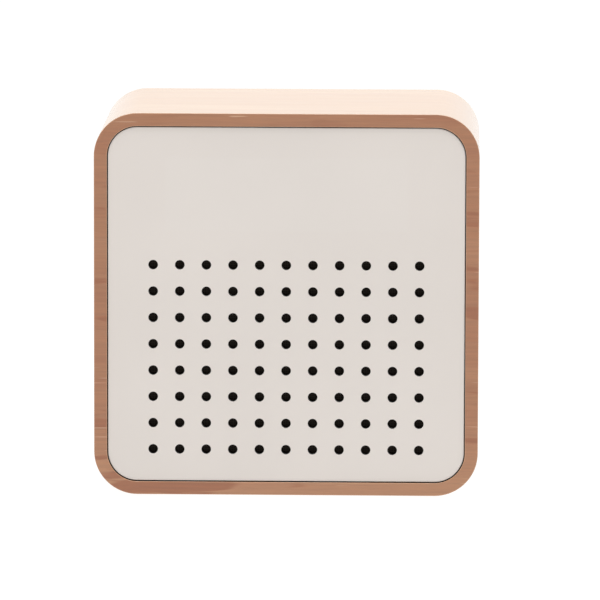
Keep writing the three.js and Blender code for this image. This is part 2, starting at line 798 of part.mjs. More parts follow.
// The USB socket's steel shell, and the tongue inside it.
function usbShell() {
  const outer = roundedRect(USB_WIDTH, USB_HEIGHT, USB_HEIGHT / 2);
  outer.holes.push(
    roundedRect(
      USB_WIDTH - 2 * USB_SHELL,
      USB_HEIGHT - 2 * USB_SHELL,
      USB_HEIGHT / 2 - USB_SHELL,
    ),
  );
  return upright(outer, USB_MOUTH - USB_LENGTH, USB_MOUTH, END_STEPS);
}

const TONGUE_WIDTH = 6.7;
const TONGUE_THICKNESS = 0.7;
const TONGUE_SETBACK = 0.8; // mouth of the socket to the tongue's end
const TONGUE_BLOCK = 1.8; // length of the block that closes the shell

function usbTongue() {
  const block = roundedRect(
    USB_WIDTH - 2 * USB_SHELL - SEAT,
    USB_HEIGHT - 2 * USB_SHELL - SEAT,
    (USB_HEIGHT - 2 * USB_SHELL - SEAT) / 2,
  );
  const front = USB_MOUTH - USB_LENGTH + SEAT;
  const base = upright(block, front, front + TONGUE_BLOCK, END_STEPS);
  const tongue = box(
    -TONGUE_WIDTH / 2,
    TONGUE_WIDTH / 2,
    front + TONGUE_BLOCK / 2,
    USB_MOUTH - TONGUE_SETBACK,
    -TONGUE_THICKNESS / 2,
    TONGUE_THICKNESS / 2,
  );
  return combine(base, [tongue]);
}

// ---------------------------------------------------------------- the assembly

piece("wood_frame", woodFrame(), WOOD);
piece("front_panel", frontPanel(), WHITE_PLASTIC);
piece("dust_screen", dustScreen(), BLACK_NYLON);
piece("chassis", chassis(), GREY_PLASTIC);
piece("rear_cover", rearCover(), WHITE_PLASTIC);

const display = new THREE.Group();
display.position.set(0, 0, DISPLAY_Z);
casing.add(display);
piece("display_gasket", displayGasket(), RUBBER, [0, 0, 0], display);
piece("display_housing", displayHousing(), BLACK_PLASTIC, [0, 0, 0], display);
for (let k = 0; k < DIGITS; k++)
  piece(
    `display_digit_${k + 1}`,
    displayDigit(),
    DIFFUSER,
    [digitX(k), 0, 0],
    display,
  );
piece("display_board", displayBoard(), CIRCUIT_BOARD);
SIDES.forEach((side, k) =>
  piece(`display_board_screw_${k + 1}`, boardScrew(), STEEL, [
    (side * POST_SPACING) / 2,
    DISPLAY_BOARD_BACK + SEAT / 2,
    POST_Z,
  ]),
);

piece("main_board", mainBoard(), CIRCUIT_BOARD);
let screwNumber = 0;
for (const side of SIDES)
  for (const y of BOARD_SCREW_YS) {
    screwNumber += 1;
    const name = `main_board_screw_${screwNumber}`;
    const place = [side * BOARD_SCREW_X, y, BOARD_TOP + SEAT / 2];
    piece(name, boardScrew(), STEEL, place).rotation.x = Math.PI / 2;
  }

// The gas sensor stands on two pin headers, with its gold chamber and its white filter on top.
const sensor = new THREE.Group();
sensor.position.set(
  -BOARD_HALF_WIDTH + SENSOR_EDGE + SENSOR_LENGTH / 2,
  BOARD_FRONT + SENSOR_SETBACK + SENSOR_WIDTH / 2,
  BOARD_TOP + SEAT,
);
casing.add(sensor);
const HEADER_WIDTH = 2.5;
const HEADER_END = 1.5; // end of the sensor's board to a header
const sensorBoardBottom = HEADER_HEIGHT + SEAT;
const sensorBoardTop = sensorBoardBottom + SENSOR_BOARD;
SIDES.forEach((side, k) => {
  const x = side * (SENSOR_LENGTH / 2 - HEADER_END - HEADER_WIDTH / 2);
  const [w, l] = [HEADER_WIDTH / 2, SENSOR_WIDTH / 2 - HEADER_END];
  const header = box(-w, w, -l, l, 0, HEADER_HEIGHT);
  piece(`sensor_header_${k + 1}`, header, BLACK_PLASTIC, [x, 0, 0], sensor);
});
piece(
  "sensor_board",
  level(
    roundedRect(SENSOR_LENGTH, SENSOR_WIDTH, LEAST_RADIUS),
    sensorBoardBottom,
    sensorBoardTop,
    END_STEPS,
  ),
  CIRCUIT_BOARD,
  [0, 0, 0],
  sensor,
);
const chamberTop = sensorBoardTop + SEAT + CHAMBER_HEIGHT;
piece(
  "sensor_chamber",
  level(
    roundedRect(CHAMBER_LENGTH, CHAMBER_WIDTH, 2 * LEAST_RADIUS),
    sensorBoardTop + SEAT,
    chamberTop,
    END_STEPS,
  ),
  GOLD,
  [0, 0, 0],
  sensor,
);
const FILTER_BORDER = 2.2;
const FILTER_THICKNESS = 0.5;
piece(
  "sensor_filter",
  level(
    roundedRect(
      CHAMBER_LENGTH - 2 * FILTER_BORDER,
      CHAMBER_WIDTH - 2 * FILTER_BORDER,
      LEAST_RADIUS,
    ),
    chamberTop + SEAT,
    chamberTop + SEAT + FILTER_THICKNESS,
    END_STEPS,
  ),
  FILTER_WHITE,
  [0, 0, 0],
  sensor,
);
const chip = box(
  -CHIP_SIZE / 2,
  CHIP_SIZE / 2,
  -CHIP_SIZE / 2,
  CHIP_SIZE / 2,
  0,
  CHIP_HEIGHT,
);
piece("microcontroller", chip, BLACK_PLASTIC, [0, 0, 0], sensor);

// The buzzer and the capacitor stand beside the sensor, with their inner sides in line.
const SOUND_HOLE_RADIUS = 1;
const SOUND_HOLE_DEPTH = 2;
const buzzer = combine(
  rodZ(BUZZER_RADIUS, 0, BUZZER_HEIGHT, 0, 0, 28),
  [],
  [
    rodZ(
      SOUND_HOLE_RADIUS,
      BUZZER_HEIGHT - SOUND_HOLE_DEPTH,
      BUZZER_HEIGHT + PAST,
      0,
      0,
      12,
    ),
  ],
);
const buzzerX = BOARD_HALF_WIDTH - SEAT - BUZZER_RADIUS - SEAM;
const capacitorX = buzzerX - BUZZER_RADIUS + CAPACITOR_RADIUS;
const buzzerY = BOARD_FRONT + SENSOR_SETBACK + BUZZER_RADIUS + SEAT;
const capacitorY = buzzerY + BUZZER_RADIUS + 4 * SEAM + CAPACITOR_RADIUS;
piece("buzzer", buzzer, BLACK_PLASTIC, [buzzerX, buzzerY, BOARD_TOP + SEAT]);
piece(
  "capacitor",
  rodZ(CAPACITOR_RADIUS, 0, CAPACITOR_HEIGHT),
  ALUMINIUM,
  [capacitorX, capacitorY, BOARD_TOP + SEAT],
);

// The riser board that links the two other boards stands in a socket on the main board. Its top is
// held by a deeper socket on the back of the display board.
const riserY = BOARD_FRONT + SEAT + RISER_SOCKET_DEPTH / 2;
const lowerSocketTop = BOARD_TOP + SEAT + RISER_SOCKET_HEIGHT;
const upperSocketBottom = POST_Z - BOARD_EDGE;
const riserSocket = (y0, z0) =>
  box(
    -RISER_SOCKET_LENGTH / 2,
    RISER_SOCKET_LENGTH / 2,
    y0,
    riserY + RISER_SOCKET_DEPTH / 2,
    z0,
    z0 + RISER_SOCKET_HEIGHT,
  );
const lowerSocket = riserSocket(BOARD_FRONT + SEAT, BOARD_TOP + SEAT);
const upperSocket = riserSocket(DISPLAY_BOARD_BACK + SEAT, upperSocketBottom);
piece("riser_socket_lower", lowerSocket, BLACK_PLASTIC);
piece("riser_socket_upper", upperSocket, BLACK_PLASTIC);
const riser = box(
  -RISER_WIDTH / 2,
  RISER_WIDTH / 2,
  riserY - BOARD_THICKNESS / 2,
  riserY + BOARD_THICKNESS / 2,
  lowerSocketTop + SEAT,
  upperSocketBottom - SEAT,
);
piece("riser_board", riser, CIRCUIT_BOARD);

// The socket and the two buttons at the rear edge of the main board.
piece("usb_socket_shell", usbShell(), STEEL, [0, 0, USB_Z]);
piece("usb_socket_tongue", usbTongue(), BLACK_PLASTIC, [0, 0, USB_Z]);
["mode", "calibrate"].forEach((name, k) => {
  const x = (SIDES[k] * BUTTON_SPACING) / 2;
  const at = [x, 0, BUTTON_Z];
  piece(`${name}_switch_body`, switchBody(), BLACK_PLASTIC, at);
  const plunger = rodY(PLUNGER_RADIUS, PLUNGER_FRONT, PLUNGER_REAR);
  piece(`${name}_switch_plunger`, plunger, FILTER_WHITE, at);
  const cap = [x, EAR_FRONT, BUTTON_Z];
  piece(`${name}_button_cap`, buttonCap(), GREY_PLASTIC, cap);
});

// The cover's screws and the brass inserts that they turn into.
CORNERS.forEach(([sx, sz], k) => {
  const [x, z] = [sx * BOSS_X, sz * BOSS_Z];
  piece(`cover_screw_${k + 1}`, coverScrew(), STEEL, [x, COVER_FACE, z]);
  const rear = CHASSIS_REAR - SEAT;
  piece(`brass_insert_${k + 1}`, brassInsert(), BRASS, [x, rear, z]);
});

// Four rubber feet under the frame.
CORNERS.forEach(([sx, sy], k) => {
  const x = sx * (CASE_WIDTH / 2 - FOOT_INSET_X);
  const y = sy * (CASE_DEPTH / 2 - FOOT_INSET_Y);
  const foot = rodZ(FOOT_RADIUS, 0, FOOT_HEIGHT - SEAT / 2, 0, 0, 24);
  piece(`rubber_foot_${k + 1}`, foot, RUBBER, [x, y, 0], root);
});

export default root;
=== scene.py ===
"""The visible model of the desktop carbon dioxide monitor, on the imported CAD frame.

Metres, +Z up, front at -Y.
"""

from math import cos, pi, sin

import bmesh
import bpy
from mathutils import Matrix, Vector
from mathutils.geometry import tessellate_polygon


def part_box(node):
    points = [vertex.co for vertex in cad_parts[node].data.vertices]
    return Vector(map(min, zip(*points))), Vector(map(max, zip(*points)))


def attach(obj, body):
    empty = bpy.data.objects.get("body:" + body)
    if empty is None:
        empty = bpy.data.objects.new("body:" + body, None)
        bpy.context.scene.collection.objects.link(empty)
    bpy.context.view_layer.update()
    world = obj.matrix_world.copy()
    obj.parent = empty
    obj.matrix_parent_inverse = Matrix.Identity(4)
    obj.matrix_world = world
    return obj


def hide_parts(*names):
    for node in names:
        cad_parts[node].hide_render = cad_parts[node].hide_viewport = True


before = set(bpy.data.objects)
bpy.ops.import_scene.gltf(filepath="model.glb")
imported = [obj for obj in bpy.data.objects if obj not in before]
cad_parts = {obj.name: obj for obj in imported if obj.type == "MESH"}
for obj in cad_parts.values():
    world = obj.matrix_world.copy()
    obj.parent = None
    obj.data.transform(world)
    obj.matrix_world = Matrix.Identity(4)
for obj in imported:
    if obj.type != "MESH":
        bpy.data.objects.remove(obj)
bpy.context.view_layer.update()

MM = 0.001
SCENE = bpy.context.scene

# ---------------------------------------------------------------- sizes, from the CAD nodes

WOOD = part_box("wood_frame")
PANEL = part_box("front_panel")
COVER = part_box("rear_cover")
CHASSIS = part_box("chassis")
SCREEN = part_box("dust_screen")
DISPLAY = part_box("display_housing")
MIDDLE_Z = (WOOD[0].z + WOOD[1].z) / 2
WIDTH = WOOD[1].x - WOOD[0].x
HEIGHT = WOOD[1].z - WOOD[0].z
CORNER_RADIUS = 11.3 * MM
LEAST_RADIUS = 0.8 * MM
SEAM = 0.3 * MM  # round a piece that drops into another
PLATE_SEAM = 0.24 * MM  # round the front panel and the rear cover
SEAT = 0.1 * MM
PANEL_INSET = PANEL[0].x - WOOD[0].x
LIP = PANEL_INSET - PLATE_SEAM
WALL = CHASSIS[0].x - WOOD[0].x - SEAM
PANEL_THICKNESS = 2 * MM
PANEL_BACK = PANEL[0].y + PANEL_THICKNESS
PITCH_OF_HOLES = 6.92 * MM
HOLE_RADIUS = 1.25 * MM
HOLE_BORDER = 1.0 * MM + HOLE_RADIUS  # from the dust screen's edge to the first hole's middle
CAP_RADIUS = 3.3 * MM
SCREW_HEAD_RADIUS = 2.9 * MM
SCREW_RADIUS = 1.5 * MM
BUTTONS = ("mode", "calibrate")

# ---------------------------------------------------------------- camera

# found by fitting the holes and the outline to the photograph
YAW, PITCH, ROLL = -0.0236, 0.1402, 0.0028
CAMERA_FROM_FRONT = Vector((44.6, -1737.7, 246.7)) * MM  # from the middle of the front
FOCAL = 405.6  # mm on a sensor 36 mm wide
SENSOR = 36


def make_camera():
    data = bpy.data.cameras.new("camera")
    data.sensor_width = SENSOR
    data.lens = FOCAL
    data.clip_start = 0.05
    data.clip_end = 50
    camera = bpy.data.objects.new("camera", data)
    SCENE.collection.objects.link(camera)
    upright = Matrix.Rotation(pi / 2 - PITCH, 3, "X")
    turned = Matrix.Rotation(-YAW, 3, "Z") @ upright @ Matrix.Rotation(ROLL, 3, "Z")
    front = Vector((0, WOOD[0].y, MIDDLE_Z))
    camera.matrix_world = Matrix.Translation(front + CAMERA_FROM_FRONT) @ turned.to_4x4()
    SCENE.camera = camera


make_camera()

# ---------------------------------------------------------------- materials


def put(tree, kind, inputs=None, **settings):
    """A shader node, with numbers or other nodes' sockets on its inputs."""
    made = tree.nodes.new("ShaderNode" + kind)
    for key, value in settings.items():
        setattr(made, key, value)
    for key, value in (inputs or {}).items():
        if isinstance(value, bpy.types.NodeSocket):
            tree.links.new(value, made.inputs[key])
        else:
            made.inputs[key].default_value = value
    return made


def start(name):
    material = bpy.data.materials.new(name)
    material.use_nodes = True
    tree = material.node_tree
    tree.nodes.clear()
    return material, tree


def shader(tree, **inputs):
    """The material's one shader. Underscores in the names stand for spaces."""
    named = {key.replace("_", " "): value for key, value in inputs.items()}
    bsdf = put(tree, "BsdfPrincipled", named)
    put(tree, "OutputMaterial", {"Surface": bsdf.outputs[0]})


def place(tree, scale=(1, 1, 1), offset=(0, 0, 0)):
    """The point on the object, stretched."""
    coordinates = put(tree, "TexCoord").outputs["Object"]
    inputs = {"Vector": coordinates, "Scale": scale, "Location": offset}
    return put(tree, "Mapping", inputs).outputs[0]


def noise(tree, scale, detail=2.0, roughness=0.5, distortion=0.0, offset=(0, 0, 0)):
    inputs = {
        "Vector": place(tree, scale, offset),
        "Scale": 1.0,
        "Detail": detail,
        "Roughness": roughness,
        "Distortion": distortion,
    }
    return put(tree, "TexNoise", inputs).outputs[0]


def ramp(tree, value, low, high, to_low=0.0, to_high=1.0):
    inputs = {"Value": value, 1: low, 2: high, 3: to_low, 4: to_high}
    return put(tree, "MapRange", inputs, interpolation_type="SMOOTHSTEP").outputs[0]


def math(tree, operation, a, b):
    return put(tree, "Math", {0: a, 1: b}, operation=operation).outputs[0]


def blend(tree, factor, a, b, kind="MIX"):
    made = put(tree, "Mix", data_type="RGBA", blend_type=kind)
    for slot, value in ((0, factor), (6, a), (7, b)):
        if isinstance(value, bpy.types.NodeSocket):
            tree.links.new(value, made.inputs[slot])
        else:
            made.inputs[slot].default_value = value
    return made.outputs[2]


def rgb(red, green, blue):
    """An sRGB colour, 0 to 255, as the linear one that shaders take."""

    def line(c):
        c /= 255
        return c / 12.92 if c <= 0.04045 else ((c + 0.055) / 1.055) ** 2.4

    return (line(red), line(green), line(blue), 1.0)


def shade(colour, amount):
    return tuple(c * amount for c in colour[:3]) + (1.0,)


def bump(tree, height, distance, strength=1.0, normal=None):
    inputs = {"Height": height, "Distance": distance, "Strength": strength}
    if normal is not None:
        inputs["Normal"] = normal
    return put(tree, "Bump", inputs).outputs[0]


def worn_edge(tree, radius):
    """How much the surface turns within a radius: 0 on flats, 1 on edges. Also the eased normal."""
    eased = put(tree, "Bevel", {"Radius": radius}, samples=4).outputs[0]
    true = put(tree, "NewGeometry").outputs["True Normal"]
    dot = put(tree, "VectorMath", {0: eased, 1: true}, operation="DOT_PRODUCT")
    return ramp(tree, dot.outputs["Value"], 0.99, 0.8), eased


MARKS = ("edge", "deep", "skin")  # edges with a painted highlight, walls deep in a gap with painted shade, and the outside of the wood with painted light


def marks(tree):
    """The marks that the pieces' meshes carry, as shader sockets."""
    return [put(tree, "Attribute", attribute_name=name).outputs["Fac"] for name in MARKS]


def grey(tree, value):
    return put(tree, "CombineColor", {0: value, 1: value, 2: value}).outputs[0]


WOOD_BROWN = rgb(172, 114, 74)
WOOD_RED = rgb(162, 99, 62)
WOOD_PALE = rgb(192, 139, 99)
WOOD_FLAME = rgb(158, 92, 52)
WOOD_CUT = rgb(228, 186, 152)
WOOD_EDGE_HIGHLIGHT = rgb(226, 184, 148)
WOOD_SHADED = rgb(34, 20, 14)
SKIN_PAINTED_LIGHT = (1.6, 2.36, 3.0, 1.0)  # painted light: the outside is painted lighter and yellower than the cut front

RING_SCALE = 46.0  # more is finer
HEART = Vector((0, -55, 125)) * MM  # the middle of the log, in front of the case and above it
TURN_LENGTH = 0.09  # metres along a ring per radian
STAIN_AT = Vector((-31.25, 0, 3.4375)) * MM
STAIN_STRETCH = Vector((32, 20, 160))
FOOT_OF_CASE = 22 * MM  # painted light from the floor: the wood is painted paler below this
TOP_BAR = (88 * MM, 96 * MM)  # the red flames fade out over these heights


def grain_space(tree):
    """Where a point lies in the log: its place from the heart, and as along, round and out."""
    warp = noise(tree, (5, 14, 14), 2.0)
    push = {0: (0.0, 0.010, 0.012), "Scale": warp}
    moved = put(tree, "VectorMath", push, operation="SCALE").outputs[0]
    still = place(tree, (1, 1, 1), tuple(-HEART))
    from_heart = put(tree, "VectorMath", {0: still, 1: moved}, operation="ADD").outputs[0]
    split = put(tree, "SeparateXYZ", {0: from_heart})
    across = put(tree, "CombineXYZ", {"Y": split.outputs[1], "Z": split.outputs[2]}).outputs[0]
    out = put(tree, "VectorMath", {0: across}, operation="LENGTH").outputs["Value"]
    turn = math(tree, "ARCTAN2", split.outputs[2], split.outputs[1])
    round_it = math(tree, "MULTIPLY", turn, TURN_LENGTH)
    grain = put(tree, "CombineXYZ", {0: split.outputs[0], 1: round_it, 2: out}).outputs[0]
    return from_heart, grain


def growth_rings(tree, from_heart):
    inputs = {
        "Vector": from_heart,
        "Scale": RING_SCALE,
        "Distortion": 3.2,
        "Detail": 2.0,
        "Detail Scale": 0.6,
        "Detail Roughness": 0.55,
    }
    settings = {"wave_type": "RINGS", "rings_direction": "X", "wave_profile": "SAW"}
    return put(tree, "TexWave", inputs, **settings).outputs["Fac"]


def red_stain(tree):
    """A wavy reddish streak low down on the left."""
    offset = tuple(-at * k for at, k in zip(STAIN_AT, STAIN_STRETCH))
    near_at = place(tree, tuple(STAIN_STRETCH), offset)
    near = put(tree, "VectorMath", {0: near_at}, operation="LENGTH").outputs["Value"]
    wavy = noise(tree, (42, 20, 360), 2.0, 0.5, 0.8, offset=(0.2, 0.6, 0.4))
    amount = math(tree, "SUBTRACT", math(tree, "ADD", wavy, 0.5), math(tree, "MULTIPLY", near, 0.5))
    return ramp(tree, amount, 0.5, 0.66, 0.0, 0.85)


def wood_material():
    """Pale brown hardwood under clear lacquer. The grain runs along X."""
    material, tree = start("wood_lacquered")
    from_heart, grain = grain_space(tree)
    rings = growth_rings(tree, from_heart)

    def figure(scale, detail, roughness, distortion=0.0, offset=(0, 0, 0)):
        """Noise that follows the rings on every face."""
        at = put(tree, "Mapping", {"Vector": grain, "Scale": scale, "Location": offset}).outputs[0]
        inputs = {"Vector": at, "Scale": 1.0, "Detail": detail, "Roughness": roughness}
        inputs["Distortion"] = distortion
        return put(tree, "TexNoise", inputs).outputs[0]

    streaks = figure((9, 60, 330), 3.0, 0.55, 0.0, (0.3, 0.7, 0.2))
    flames = figure((42, 42, 300), 2.0, 0.45, 0.9, (0.55, 0.3, 0.1))
    clouds = figure((14, 22, 60), 2.0, 0.5, 0.0, (0.9, 0.1, 0.5))
    fibres = noise(tree, (70, 1500, 1700), 3.0, 0.65)
    cuts = noise(tree, (75, 2300, 2900), 1.0, 0.5, offset=(1.7, 0.4, 0.9))
    height_up = put(tree, "SeparateXYZ", {0: place(tree)}).outputs[2]

    colour = blend(tree, ramp(tree, rings, 0.15, 1.0, 0.0, 0.3), WOOD_BROWN, WOOD_RED)
    colour = blend(tree, ramp(tree, streaks, 0.5, 0.7, 0.0, 0.45), colour, WOOD_RED)
    colour = blend(tree, ramp(tree, clouds, 0.45, 0.68, 0.0, 0.4), colour, WOOD_PALE)
    # painted light: paler towards the bottom, where the floor lights the case
    low_down = ramp(tree, height_up, FOOT_OF_CASE, 0.0, 0.0, 0.55)
    colour = blend(tree, low_down, colour, WOOD_PALE)
    fade = ramp(tree, height_up, TOP_BAR[1], TOP_BAR[0], 0.25, 0.85)
    flame = math(tree, "MULTIPLY", ramp(tree, flames, 0.56, 0.68), fade)
    colour = blend(tree, flame, colour, WOOD_FLAME)
    colour = blend(tree, red_stain(tree), colour, WOOD_FLAME)
    tone = ramp(tree, fibres, 0.25, 0.75, 0.91, 1.09)
    colour = blend(tree, 1.0, colour, grey(tree, tone), "MULTIPLY")
    colour = blend(tree, ramp(tree, cuts, 0.72, 0.79, 0.0, 0.65), colour, WOOD_CUT)
    edge, deep, skin = marks(tree)
    # painted light: the outside is a calmer, lighter and yellower copy of the wood
    calmer = blend(tree, 0.6, colour, WOOD_BROWN)
    colour = blend(tree, skin, colour, blend(tree, 1.0, calmer, SKIN_PAINTED_LIGHT, "MULTIPLY"))
    # painted highlight: the rounded edges are painted cream, where light catches them
    colour = blend(tree, math(tree, "MULTIPLY", edge, 0.5), colour, WOOD_EDGE_HIGHLIGHT)
    # painted shade: the lip's wall deep in the gap round the panel is painted dark
    colour = blend(tree, deep, colour, WOOD_SHADED)

    height = math(tree, "ADD", math(tree, "MULTIPLY", fibres, 0.6), cuts)
    height = math(tree, "MULTIPLY", height, ramp(tree, skin, 0.0, 1.0, 1.0, 0.35))
    shader(
        tree,
        Base_Color=colour,
        Roughness=ramp(tree, fibres, 0.2, 0.8, 0.42, 0.58),
        Normal=bump(tree, height, 0.03 * MM, 0.6),
        Coat_Weight=1.0,
        Coat_Roughness=0.14,
    )
    return material


PANEL_SPECK = rgb(120, 112, 104)
PANEL_WINDOW = rgb(240, 236, 230)
PANEL_EDGE_HIGHLIGHT = rgb(255, 250, 244)
PANEL_SHADED = rgb(9, 7, 6)


def rectangle_mask(tree, low, high, soft_edge=0.6 * MM):
    """1 inside a rectangle in X and Z, 0 outside."""
    split = put(tree, "SeparateXYZ", {0: put(tree, "TexCoord").outputs["Object"]})
    mask = 1.0
    for axis, a, b in ((0, low.x, high.x), (2, low.z, high.z)):
        coordinate = split.outputs[axis]
        rising = ramp(tree, coordinate, a - soft_edge, a + soft_edge)
        falling = ramp(tree, coordinate, b + soft_edge, b - soft_edge)
        inside = math(tree, "MULTIPLY", rising, falling)
        mask = math(tree, "MULTIPLY", inside, mask)
    return mask


def specks(tree):
    """A few faint dark specks, in some cells of a coarse pattern."""
    at = place(tree, (62, 62, 62), (0.4, 0.2, 0.6))
    cells = put(tree, "TexVoronoi", {"Vector": at, "Scale": 1.0})
    pick = put(tree, "SeparateColor", {"Color": cells.outputs["Color"]}).outputs[0]
    chosen = ramp(tree, pick, 0.86, 0.9)
    dot = ramp(tree, cells.outputs["Distance"], 0.03, 0.012)
    return math(tree, "MULTIPLY", math(tree, "MULTIPLY", chosen, dot), 0.25)


def panel_material(name, base, grain=0.22, window=None):
    """Matt white plastic with a very fine texture. A window is a box that shows very faintly."""
    material, tree = start(name)
    fine = noise(tree, (1 / (grain * MM),) * 3, 2.0, 0.6)
    soft = noise(tree, (28, 28, 28), 3.0, 0.5)
    tone = ramp(tree, soft, 0.3, 0.7, 0.985, 1.01)
    colour = blend(tree, 1.0, base, grey(tree, tone), "MULTIPLY")
    colour = blend(tree, specks(tree), colour, PANEL_SPECK)
    if window is not None:
        mask = rectangle_mask(tree, *window)
        colour = blend(tree, math(tree, "MULTIPLY", mask, 0.10), colour, PANEL_WINDOW)
    edge, deep, _ = marks(tree)
    # painted highlight: the rounded edges are painted lighter, where light catches them
    colour = blend(tree, math(tree, "MULTIPLY", edge, 0.7), colour, PANEL_EDGE_HIGHLIGHT)
    # painted shade: walls deep in the gap and in the holes are painted nearly black
    colour = blend(tree, deep, colour, PANEL_SHADED)
    shader(
        tree,
        Base_Color=colour,
        Roughness=ramp(tree, fine, 0.3, 0.7, 0.46, 0.58),
        Normal=bump(tree, fine, 0.012 * MM, 0.5),
    )
    return material


def moulded(name, base, roughness=0.5, mottle=0.05, grain=0.3, depth=0.015, eased=0.15, **more):
    """Moulded plastic, rubber or ceramic: a grained surface whose edges are worn a little lighter."""
    material, tree = start(name)
    fine = noise(tree, (1 / (grain * MM),) * 3, 3.0, 0.6)
    soft = noise(tree, (90, 90, 90), 3.0, 0.55)
    edge, normal = worn_edge(tree, eased * MM)
    tone = ramp(tree, soft, 0.3, 0.7, 1 - mottle, 1 + mottle)
    colour = blend(tree, 1.0, base, grey(tree, tone), "MULTIPLY")
    lighter = tuple(min(1.0, c * 1.35 + 0.02) for c in base[:3]) + (1.0,)
    colour = blend(tree, math(tree, "MULTIPLY", edge, 0.5), colour, lighter)
    shader(
        tree,
        Base_Color=colour,
        Roughness=ramp(tree, fine, 0.3, 0.7, roughness - 0.07, roughness + 0.07),
        Normal=bump(tree, fine, depth * MM, 0.6, normal),
        **more,
    )
    return material


def metal(name, base, roughness=0.3, along=(1, 1, 1), scale=900, eased=0.12, **more):
    """Metal with fine lines along the axis whose factor is smallest."""
    material, tree = start(name)
    lines = noise(tree, tuple(scale * k for k in along), 3.0, 0.6)
    soft = noise(tree, (160, 160, 160), 3.0, 0.6)
    edge, normal = worn_edge(tree, eased * MM)
    tone = ramp(tree, soft, 0.3, 0.7, 0.92, 1.05)
    colour = blend(tree, 1.0, base, grey(tree, tone), "MULTIPLY")
    colour = blend(tree, math(tree, "MULTIPLY", edge, 0.4), colour, (0.95, 0.94, 0.92, 1.0))
    shader(
        tree,
        Base_Color=colour,
        Metallic=1.0,
        Roughness=ramp(tree, lines, 0.2, 0.8, roughness - 0.08, roughness + 0.1),
        Normal=bump(tree, lines, 0.006 * MM, 0.5, normal),
        **more,
    )
    return material


def copper_tracks(tree):
    inputs = {
        "Vector": place(tree, (1, 1, 1), (0.001, 0.002, 0.003)),
        "Color1": (0, 0, 0, 1),
        "Color2": (0, 0, 0, 1),
        "Mortar": (1, 1, 1, 1),
        "Scale": 190.0,
        "Mortar Size": 0.06,
        "Mortar Smooth": 0.3,
        "Brick Width": 1.7,
        "Row Height": 0.42,
    }
    bricks = put(tree, "TexBrick", inputs).outputs["Color"]
    return put(tree, "RGBToBW", {0: bricks}).outputs[0]


def tinned_pads(tree):
    """Small round pads in some cells of a fine pattern."""
    cells = put(tree, "TexVoronoi", {"Vector": place(tree, (330, 330, 330)), "Scale": 1.0})
    round_pads = ramp(tree, cells.outputs["Distance"], 0.17, 0.13)
    pick = put(tree, "SeparateColor", {"Color": cells.outputs["Color"]}).outputs[1]
    return math(tree, "MULTIPLY", round_pads, ramp(tree, pick, 0.72, 0.76))


def board_material():
    """Green solder mask over copper tracks, with small tinned pads."""
    material, tree = start("board_green")
    track = copper_tracks(tree)
    pads = tinned_pads(tree)
    colour = blend(tree, math(tree, "MULTIPLY", track, 0.5), rgb(20, 78, 48), rgb(58, 130, 82))
    colour = blend(tree, pads, colour, rgb(206, 204, 196))
    weave = noise(tree, (1400, 1400, 1400), 2.0)
    _, normal = worn_edge(tree, 0.15 * MM)
    relief, threads = math(tree, "MULTIPLY", track, 0.7), math(tree, "MULTIPLY", weave, 0.2)
    shader(
        tree,
        Base_Color=colour,
        Metallic=math(tree, "MULTIPLY", pads, 0.9),
        Roughness=ramp(tree, weave, 0.3, 0.7, 0.3, 0.42),
        Normal=bump(tree, math(tree, "ADD", relief, threads), 0.03 * MM, 0.7, normal),
    )
    return material


def mesh_screen_material():
    """Fine black woven nylon."""
    material, tree = start("screen_black")
    waves = []
    for axis in "XZ":
        inputs = {"Vector": place(tree), "Scale": 700.0, "Distortion": 0.4}
        wave = put(tree, "TexWave", inputs, wave_type="BANDS", bands_direction=axis)
        waves.append(wave.outputs["Fac"])
    weave = math(tree, "MAXIMUM", *waves)
    colour = blend(tree, ramp(tree, weave, 0.3, 0.95), rgb(14, 10, 7), rgb(50, 40, 31))
    shader(
        tree,
        Base_Color=colour,
        Roughness=ramp(tree, weave, 0.0, 1.0, 0.85, 0.65),
        Specular_IOR_Level=0.25,
        Normal=bump(tree, weave, 0.05 * MM, 0.8),
    )
    return material


WOOD_LOOK = wood_material()
PANEL_LOOK = panel_material("panel_white", rgb(235, 227, 220), window=DISPLAY)
COVER_LOOK = panel_material("cover_white", rgb(234, 227, 220), 0.35)
GREY = moulded("plastic_grey", rgb(150, 150, 149), 0.5)
BUTTON = moulded("button_plastic", rgb(176, 172, 168), 0.42, grain=0.2, eased=0.3)
BLACK = moulded("plastic_black", rgb(34, 34, 36), 0.48)
RUBBER = moulded("rubber_black", rgb(40, 39, 38), 0.8, 0.1, 0.25, 0.03)
GASKET = moulded("gasket_black", rgb(30, 30, 31), 0.85, 0.12, 0.4, 0.05)
NYLON = moulded("nylon_white", rgb(226, 224, 217), 0.45)
DIFFUSER = moulded("diffuser_milky", rgb(222, 218, 208), 0.35, 0.02, 0.5, 0.01)
FILTER = moulded("filter_white", rgb(236, 234, 228), 0.9, 0.04, 0.12, 0.03)
STEEL = metal("steel_zinc", rgb(196, 198, 200), 0.3)
SHELL = metal("steel_stamped", rgb(204, 205, 207), 0.26, (1, 0.06, 1))
BRASS = metal("brass_turned", rgb(214, 178, 104), 0.28, (1, 0.05, 1))
GOLD = metal("gold_plated", rgb(226, 190, 110), 0.3, (0.08, 1, 1))
CAN = metal("aluminium_can", rgb(206, 208, 210), 0.32, (1, 1, 0.06))
BOARD = board_material()
NET = mesh_screen_material()

